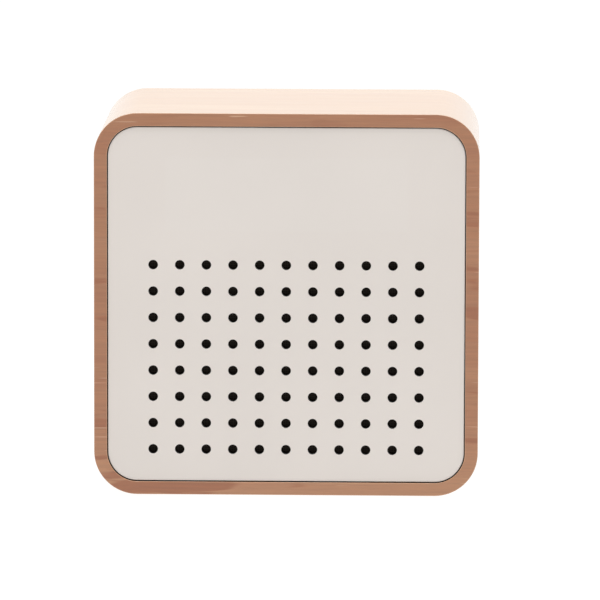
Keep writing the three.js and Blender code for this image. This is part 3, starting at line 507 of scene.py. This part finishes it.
CAD_LOOKS = (
    ("dust_screen", NET),
    ("chassis", GREY),
    ("display_gasket", GASKET),
    ("display_housing", BLACK),
    ("display_digit_", DIFFUSER),
    ("display_board_screw_", STEEL),
    ("display_board", BOARD),
    ("main_board_screw_", STEEL),
    ("main_board", BOARD),
    ("sensor_board", BOARD),
    ("riser_board", BOARD),
    ("riser_socket_", BLACK),
    ("sensor_header_", BLACK),
    ("sensor_chamber", GOLD),
    ("sensor_filter", FILTER),
    ("microcontroller", BLACK),
    ("buzzer", BLACK),
    ("capacitor", CAN),
    ("usb_socket_shell", SHELL),
    ("usb_socket_tongue", BLACK),
    ("brass_insert_", BRASS),
    ("mode_switch_body", BLACK),
    ("calibrate_switch_body", BLACK),
    ("mode_switch_plunger", NYLON),
    ("calibrate_switch_plunger", NYLON),
)
for node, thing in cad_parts.items():
    for start_of_name, look in CAD_LOOKS:
        if node.startswith(start_of_name):
            thing.data.materials.clear()
            thing.data.materials.append(look)
            break

# ---------------------------------------------------------------- geometry helpers

DARK_STARTS = 0.04 * MM  # below the edge of a wall painted dark as shade
FLAT_RIM = 0.06 * MM  # flat ring round a hole, which keeps the shading of the face flat
OUTLINE_EDGE = 0.22 * MM  # edge radius of the two plates


def finish_mesh(name, made, look, body, replaced):
    """A piece from a bmesh."""
    for face in made.faces:
        face.smooth = True
    mesh = bpy.data.meshes.new(name)
    made.to_mesh(mesh)
    made.free()
    mesh.set_sharp_from_angle(angle=0.7)
    mesh.materials.append(look)
    thing = bpy.data.objects.new(name, mesh)
    SCENE.collection.objects.link(thing)
    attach(thing, body)
    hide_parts(replaced)
    return thing


def rounded(corners, steps=4, support=0.04 * MM, closed=True):
    """A polygon of (u, v, radius) corners with its corners rounded, as (u, v, edge) points."""
    points = []
    count = len(corners)
    for k, (u, v, radius) in enumerate(corners):
        here = Vector((u, v))
        if radius <= 0 or (not closed and k in (0, count - 1)):
            points.append((u, v, 0.0))
            continue
        before = Vector(corners[k - 1][:2]) - here
        after = Vector(corners[(k + 1) % count][:2]) - here
        angle = before.angle(after)
        reach = radius / abs(sin(angle / 2) / cos(angle / 2))
        first = here + before.normalized() * reach
        last = here + after.normalized() * reach
        centre = here + (before.normalized() + after.normalized()).normalized() * (
            radius / sin(angle / 2)
        )
        if support:
            held = first + before.normalized() * support
            points.append((held.x, held.y, 0.0))
        a, b = first - centre, last - centre
        span = a.angle_signed(b)
        for i in range(steps + 1):
            turned = a.copy()
            turned.rotate(Matrix.Rotation(-span * i / steps, 2))
            at = centre + turned
            points.append((at.x, at.y, 1.0 if 0 < i < steps else 0.6))
        if support:
            held = last + after.normalized() * support
            points.append((held.x, held.y, 0.0))
    return points


def round_rect(width, height, radius, centre=(0, 0), arc=8):
    """A rectangle with rounded corners, in X and Z."""
    w, h = width / 2 - radius, height / 2 - radius
    points = []
    for k, (sx, sz) in enumerate(((1, 1), (-1, 1), (-1, -1), (1, -1))):
        for i in range(arc + 1):
            turn = (k + i / arc) * pi / 2
            x = centre[0] + sx * w + radius * cos(turn)
            z = centre[1] + sz * h + radius * sin(turn)
            points.append(Vector((x, z)))
    return points


def case_loop(inset, arc=20):
    """The case's outline moved inwards."""
    radius = max(CORNER_RADIUS - inset, LEAST_RADIUS)
    return round_rect(WIDTH - 2 * inset, HEIGHT - 2 * inset, radius, (0, MIDDLE_Z), arc)


def circle_loop(x, z, radius, segments=36):
    """A function that gives a circle for a depth into the material round it."""

    def loop(d):
        turns = [2 * pi * i / segments for i in range(segments)]
        return [Vector((x + (radius + d) * cos(t), z + (radius + d) * sin(t))) for t in turns]

    return loop


def slot_loop(x, z, width, height, radius, arc=8):
    """The same for a rounded rectangle."""
    return lambda d: round_rect(width + 2 * d, height + 2 * d, radius + d, (x, z), arc)


def mark_layers(made):
    layers = made.verts.layers.float
    return [layers.get(name) or layers.new(name) for name in MARKS]


def ring(made, loop, y):
    return [made.verts.new((p.x, y, p.y)) for p in loop]


def bridge(made, a, b):
    """Quads between two closed loops with the same count of points."""
    count = len(a)
    for i in range(count):
        j = (i + 1) % count
        made.faces.new((a[i], a[j], b[j], b[i]))


def wall_levels(edge, dark, y0, y1, steps=3):
    """A wall's rings from face to face, as (depth, y, painted highlight, painted shade). Both its
    edges are rounded.
    """
    half = [(edge + FLAT_RIM, 0.0, 0.0, 0.0)]
    for i in range(steps + 1):
        turn = pi / 2 * i / steps
        half.append((edge * (1 - sin(turn)), edge * (1 - cos(turn)), float(0 < i < steps), 0.0))
    if dark:
        half.append((0.0, edge + DARK_STARTS, 0.0, 1.0))
    levels = [(d, y0 + h, edge_highlight, deep) for d, h, edge_highlight, deep in half]
    levels += [(d, y1 - h, edge_highlight, deep) for d, h, edge_highlight, deep in reversed(half)]
    return levels


def plate(made, loops, y0, y1, pocket=None):
    """A closed plate in X and Z.

    Each loop is (points for a depth into the material, edge radius, walls painted dark as shade). The
    first is the outline and the rest are holes. A pocket is (points, floor y), cut from the rear.
    """
    edges, deeps, _ = mark_layers(made)
    fronts, backs = [], []
    for loop, edge, dark in loops:
        rings = []
        for d, y, edge_highlight, deep in wall_levels(edge, dark, y0, y1):
            rings.append(ring(made, loop(d), y))
            for vertex in rings[-1]:
                vertex[edges], vertex[deeps] = edge_highlight, deep
        for a, b in zip(rings, rings[1:]):
            bridge(made, a, b)
        fronts.append(rings[0])
        backs.append(rings[-1])
    if pocket:
        loop, floor_y = pocket
        rim, bottom = ring(made, loop, y1), ring(made, loop, floor_y)
        bridge(made, rim, bottom)
        made.faces.new(bottom)
        backs.append(rim)
    for caps in (fronts, backs):
        corners = [v for r in caps for v in r]
        for triangle in tessellate_polygon([[v.co.xzy for v in r] for r in caps]):
            made.faces.new([corners[i] for i in triangle])


def lathe(made, profile, centre, axis="Y", segments=40):
    """A closed body of revolution. The profile's points are (radius, along, edge highlight), the last
    being how strongly the edge is painted as a highlight.

    They run from the axis back to the axis or, for a collar, once round a closed shape.
    """
    edges = mark_layers(made)[0]
    rings = []
    for radius, along, edge_highlight in profile:
        loop = []
        for i in range(segments if radius > 1e-9 else 1):
            turn = 2 * pi * i / segments
            u, v = radius * cos(turn), radius * sin(turn)
            offset = (u, along, v) if axis == "Y" else (u, v, along)
            vertex = made.verts.new(Vector(centre) + Vector(offset))
            vertex[edges] = edge_highlight
            loop.append(vertex)
        rings.append(loop)
    for a, b in zip(rings, rings[1:]):
        if len(a) == 1 or len(b) == 1:
            tip, loop = (a[0], b) if len(a) == 1 else (b[0], a)
            for i in range(segments):
                made.faces.new((tip, loop[i], loop[(i + 1) % segments]))
        else:
            bridge(made, a, b)


def cleaned(made):
    bmesh.ops.remove_doubles(made, verts=made.verts, dist=1e-7)
    bmesh.ops.recalc_face_normals(made, faces=made.faces)
    return made


def cut(thing, cutter):
    """Takes a closed cutter mesh away from a piece."""
    modifier = thing.modifiers.new("cut", "BOOLEAN")
    modifier.operation = "DIFFERENCE"
    modifier.solver = "EXACT"
    modifier.object = cutter
    graph = bpy.context.evaluated_depsgraph_get()
    mesh = bpy.data.meshes.new_from_object(thing.evaluated_get(graph))
    thing.modifiers.clear()
    thing.data = mesh
    bpy.data.objects.remove(cutter)


# ---------------------------------------------------------------- the pieces


def wood_case():
    """The wooden ring, with a ledge at each end and small eased edges."""
    front, rear = WOOD[0].y, WOOD[1].y
    front_ledge = PANEL_BACK + SEAT
    rear_ledge = COVER[0].y - SEAT
    corners = [
        (0, front, 0.14 * MM),
        (LIP, front, 0.12 * MM),
        (LIP, front + 0.32 * MM, 0),
        (LIP, front_ledge, 0.08 * MM),
        (WALL, front_ledge, 0.2 * MM),
        (WALL, rear_ledge, 0.2 * MM),
        (LIP, rear_ledge, 0.08 * MM),
        (LIP, rear, 0.25 * MM),
        (0, rear, 0.35 * MM),
    ]
    made = bmesh.new()
    edges, deeps, skins = mark_layers(made)
    rings = []
    for inset, y, edge_highlight in rounded(corners):
        loop = ring(made, case_loop(inset, 24), y)
        # the lip's wall inside the gap is marked for painted shade, and the outside for painted light
        inside = inset > LIP - 0.01 * MM and front + 0.3 * MM < y < rear - 0.3 * MM
        outside = inset < 0.01 * MM
        for vertex in loop:
            vertex[edges], vertex[deeps], vertex[skins] = edge_highlight, float(inside), float(outside)
        rings.append(loop)
    for a, b in zip(rings, rings[1:] + rings[:1]):
        bridge(made, a, b)
    finish_mesh("case_wood", cleaned(made), WOOD_LOOK, "case", "wood_frame")


def middle_of(node):
    low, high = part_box(node)
    return (low + high) / 2


def hole_places():
    x0, x1 = SCREEN[0].x + HOLE_BORDER, SCREEN[1].x - HOLE_BORDER
    z0, z1 = SCREEN[0].z + HOLE_BORDER, SCREEN[1].z - HOLE_BORDER
    columns = round((x1 - x0) / PITCH_OF_HOLES)
    rows = round((z1 - z0) / PITCH_OF_HOLES)
    return [
        (x0 + (x1 - x0) * c / columns, z0 + (z1 - z0) * r / rows)
        for r in range(rows + 1)
        for c in range(columns + 1)
    ]


def panel_studs(made, root_y, post_z):
    """Four solid studs that go into the chassis."""
    radius = 1.2 * MM
    end = PANEL_BACK + 7.5 * MM
    profile = [(0, root_y, 0), (radius, root_y, 0), (radius, end, 0.4 * MM), (0, end, 0)]
    x_of_studs = CHASSIS[1].x - 3.6 * MM
    lower_z = PANEL[0].z + 16.3 * MM
    for x in (-x_of_studs, x_of_studs):
        for z in (lower_z, post_z):
            lathe(made, rounded(profile, closed=False), (x, 0, z), segments=24)


def display_posts(made, root_y, post_z):
    """Two bored posts that the display board is screwed to."""
    radius, bore = 2 * MM, 1.1 * MM
    end = PANEL[1].y
    bore_end = end - 3.3 * MM
    profile = [
        (0, root_y, 0),
        (radius, root_y, 0),
        (radius, end, 0.2 * MM),
        (bore, end, 0.1 * MM),
        (bore, bore_end, 0),
        (0, bore_end, 0),
    ]
    for k in (1, 2):
        x = middle_of(f"display_board_screw_{k}").x
        lathe(made, rounded(profile, closed=False), (x, 0, post_z), segments=28)


def front_panel():
    """The perforated plate with its pocket for the display, its studs and its posts."""
    made = bmesh.new()
    # the outline's wall and the holes' walls are painted dark as shade
    loops = [(lambda d: case_loop(PANEL_INSET + d), OUTLINE_EDGE, True)]
    loops += [(circle_loop(x, z, HOLE_RADIUS), 0.06 * MM, True) for x, z in hole_places()]
    gap_x, gap_z = 0.35 * MM, 0.7 * MM
    centre = middle_of("display_housing")
    size = DISPLAY[1] - DISPLAY[0]
    pocket = slot_loop(centre.x, centre.z, size.x + 2 * gap_x, size.z + 2 * gap_z, 0.5 * MM, 4)
    plate(made, loops, PANEL[0].y, PANEL_BACK, pocket=(pocket(0), DISPLAY[0].y - SEAT))
    root_y = PANEL_BACK - 0.05 * MM
    post_z = middle_of("display_board_screw_1").z
    panel_studs(made, root_y, post_z)
    display_posts(made, root_y, post_z)
    finish_mesh("panel_front", cleaned(made), PANEL_LOOK, "case", "front_panel")


def air_slots():
    count, width, height = 11, 2.2 * MM, 26 * MM
    z = MIDDLE_Z + 9 * MM
    places = [(k - (count - 1) / 2) * PITCH_OF_HOLES for k in range(count)]
    return [slot_loop(x, z, width, height, width / 2, 10) for x in places]


def socket_port():
    spare = 0.35 * MM
    low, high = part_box("usb_socket_shell")
    size = high - low
    z = middle_of("usb_socket_shell").z
    radius = size.z / 2 + spare - 1e-6
    return slot_loop(0, z, size.x + 2 * spare, size.z + 2 * spare, radius, 12)


def countersink(made, x, z):
    """A closed collar in the cover's screw hole: a cone over a bore."""
    wide, throat, bore = 3.16 * MM, 3.1 * MM, 1.62 * MM
    inner, outer = COVER[0].y + 0.2 * MM, COVER[1].y
    profile = [
        (wide, inner, 0),
        (wide, outer - 0.35 * MM, 0),
        (throat, outer - 0.2 * MM, 0),
        (bore, outer - 1.7 * MM, 0),
        (bore, inner, 0),
        (wide, inner, 0),
    ]
    lathe(made, profile, (x, 0, z), segments=40)


def rear_cover():
    """The plate with air slots, countersunk holes and openings for the socket and the buttons."""
    made = bmesh.new()
    openings = air_slots() + [socket_port()]
    for name in BUTTONS:
        at = middle_of(f"{name}_switch_plunger")
        openings.append(circle_loop(at.x, at.z, CAP_RADIUS + 0.3 * MM, 48))
    heads = [middle_of(f"cover_screw_{k}") for k in (1, 2, 3, 4)]
    openings += [circle_loop(at.x, at.z, 3.12 * MM, 40) for at in heads]
    # only the outline's wall is painted dark as shade, not the openings'
    loops = [(lambda d: case_loop(PANEL_INSET + d), OUTLINE_EDGE, True)]
    loops += [(opening, OUTLINE_EDGE, False) for opening in openings]
    plate(made, loops, COVER[0].y, COVER[1].y)
    for at in heads:
        countersink(made, at.x, at.z)
    finish_mesh("cover_rear", cleaned(made), COVER_LOOK, "case", "rear_cover")


def cross_cutter(radius, depth, face_y, x, z):
    """A cross recess that narrows with depth, to be cut into a screw's head along Y."""
    made = bmesh.new()
    loops = []
    for y, shrink in ((face_y + 0.2 * MM, 1.0), (face_y - depth, 0.55)):
        long, short = radius * 0.6 * shrink, radius * 0.16 * shrink
        arm = ((short, -short), (long, -short), (long, short))
        loop = []
        for quarter in range(4):
            turn = Matrix.Rotation(quarter * pi / 2, 2)
            for corner in arm:
                at = turn @ Vector(corner)
                loop.append(made.verts.new((x + at.x, y, z + at.y)))
        loops.append(loop)
        made.faces.new(loop)
    bridge(made, *loops)
    bmesh.ops.recalc_face_normals(made, faces=made.faces)
    mesh = bpy.data.meshes.new("cutter")
    made.to_mesh(mesh)
    made.free()
    thing = bpy.data.objects.new("cutter", mesh)
    SCENE.collection.objects.link(thing)
    return thing


def screw_profile(length):
    """A countersunk screw from its tip up to its face, which is at 0."""
    head, shank = SCREW_HEAD_RADIUS, SCREW_RADIUS
    pitch = 0.5 * MM
    neck = -1.5 * MM
    profile = [(0, -length, 0), (0.9 * MM, -length, 0), (shank, -length + 0.7 * MM, 0)]
    y = -length + 0.8 * MM
    while y < neck - 2 * pitch:
        profile += [(shank * 0.86, y + 0.25 * pitch, 0), (shank * 0.86, y + 0.4 * pitch, 0)]
        profile += [(shank, y + 0.8 * pitch, 0), (shank, y + pitch, 0)]
        y += pitch
    profile += [(shank, neck, 0), (head - 0.05 * MM, -0.16 * MM, 0.5), (head, -0.08 * MM, 1)]
    profile += [(head - 0.05 * MM, -0.02 * MM, 1), (head - 0.12 * MM, 0, 0), (0, 0, 0)]
    return profile


def cover_screws():
    """Countersunk machine screws with their threads and a cross recess."""
    for k in (1, 2, 3, 4):
        node = f"cover_screw_{k}"
        low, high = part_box(node)
        at = middle_of(node)
        made = bmesh.new()
        lathe(made, screw_profile(high.y - low.y), (at.x, high.y, at.z), segments=44)
        thing = finish_mesh(f"screw_cover_{k}", cleaned(made), STEEL, "case", node)
        cut(thing, cross_cutter(SCREW_HEAD_RADIUS, 1.1 * MM, high.y, at.x, at.z))


def button_caps():
    """Round caps with a slightly dished face, on their ears."""
    for name in BUTTONS:
        node = f"{name}_button_cap"
        low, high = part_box(node)
        at = middle_of(f"{name}_switch_plunger")
        made = bmesh.new()
        root_y = low.y + 0.45 * MM
        profile = [
            (0, root_y, 0),
            (CAP_RADIUS, root_y, 0),
            (CAP_RADIUS, high.y, 0.45 * MM),
            (CAP_RADIUS - 1.0 * MM, high.y, 0.5 * MM),
            (0, high.y - 0.22 * MM, 0),
        ]
        lathe(made, rounded(profile, 5, closed=False), (at.x, 0, at.z), segments=56)
        ears = slot_loop(at.x, at.z, 9.6 * MM, 5.4 * MM, 0.8 * MM, 6)
        plate(made, [(lambda d: ears(-d), 0.12 * MM, False)], low.y, low.y + 0.9 * MM)
        body = f"{name}_button"
        finish_mesh(f"button_{name}", cleaned(made), BUTTON, body, node)


def feet():
    """Low rubber feet with a rounded rim and a shallow dish underneath."""
    for k in (1, 2, 3, 4):
        node = f"rubber_foot_{k}"
        low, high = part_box(node)
        at = middle_of(node)
        radius = (high.x - low.x) / 2
        dish = low.z + 0.12 * MM
        made = bmesh.new()
        profile = [
            (0, dish, 0),
            (radius - 1.5 * MM, dish, 0.3 * MM),
            (radius - 1.2 * MM, low.z, 0.1 * MM),
            (radius, low.z, 0.35 * MM),
            (radius, high.z, 0.05 * MM),
            (0, high.z, 0),
        ]
        lathe(made, rounded(profile, 4, 0, closed=False), (at.x, at.y, 0), "Z", 48)
        finish_mesh(f"foot_{k}", cleaned(made), RUBBER, "case", node)


wood_case()
front_panel()
rear_cover()
cover_screws()
button_caps()
feet()

# ---------------------------------------------------------------- floor and light


def floor():
    """A pale floor that glows a little, so that it meets the white surroundings."""
    half = 12
    corners = ((-half, -half), (half, -half), (half, half), (-half, half))
    made = bmesh.new()
    made.faces.new([made.verts.new((x, y, 0)) for x, y in corners])
    mesh = bpy.data.meshes.new("floor")
    made.to_mesh(mesh)
    made.free()
    material, tree = start("floor_pale")
    glow = grey(tree, ramp(tree, noise(tree, (3, 3, 3), 2.0), 0.3, 0.7, 0.97, 1.0))
    shader(
        tree,
        Base_Color=shade((1, 1, 1), 0.12),
        Roughness=0.9,
        Specular_IOR_Level=0.0,
        Emission_Color=glow,
        Emission_Strength=0.97,
    )
    mesh.materials.append(material)
    thing = bpy.data.objects.new("floor", mesh)
    SCENE.collection.objects.link(thing)


def soft_light(name, place_at, target, size, strength):
    """An area light. Strength 1 lights a white surface at the target, square to it, to about 1."""
    away = Vector(place_at) - Vector(target)
    data = bpy.data.lights.new(name, "AREA")
    data.shape = "RECTANGLE"
    data.size, data.size_y = size
    data.energy = strength * pi**2 * away.length_squared
    thing = bpy.data.objects.new(name, data)
    thing.location = place_at
    thing.rotation_mode = "QUATERNION"
    thing.rotation_quaternion = away.to_track_quat("Z", "Y")
    thing.visible_camera = False
    SCENE.collection.objects.link(thing)


def surroundings(front, behind, above, horizon):
    """White at eye level all round. Higher up it is dimmer in front and brighter behind."""
    made = bpy.data.worlds.new("surroundings")
    made.use_nodes = True
    tree = made.node_tree
    direction = put(tree, "SeparateXYZ", {0: put(tree, "TexCoord").outputs["Generated"]})
    low = ramp(tree, direction.outputs["Y"], -0.5, 0.8, front, behind)
    overhead = ramp(tree, direction.outputs["Z"], 0.6, 0.95)
    sky = blend(tree, overhead, grey(tree, low), (above, above, above, 1.0))
    risen = ramp(tree, direction.outputs["Z"], 0.1, 0.22)
    whole = blend(tree, risen, (horizon, horizon, horizon, 1.0), sky)
    tree.links.new(whole, tree.nodes["Background"].inputs["Color"])
    SCENE.world = made


floor()
surroundings(front=0.25, behind=0.9, above=0.9, horizon=1.02)
soft_light("overhead", (0, -0.12, 1.1), (0, 0, MIDDLE_Z), (0.8, 0.55), 0.8)
SCENE.view_settings.view_transform = "Standard"
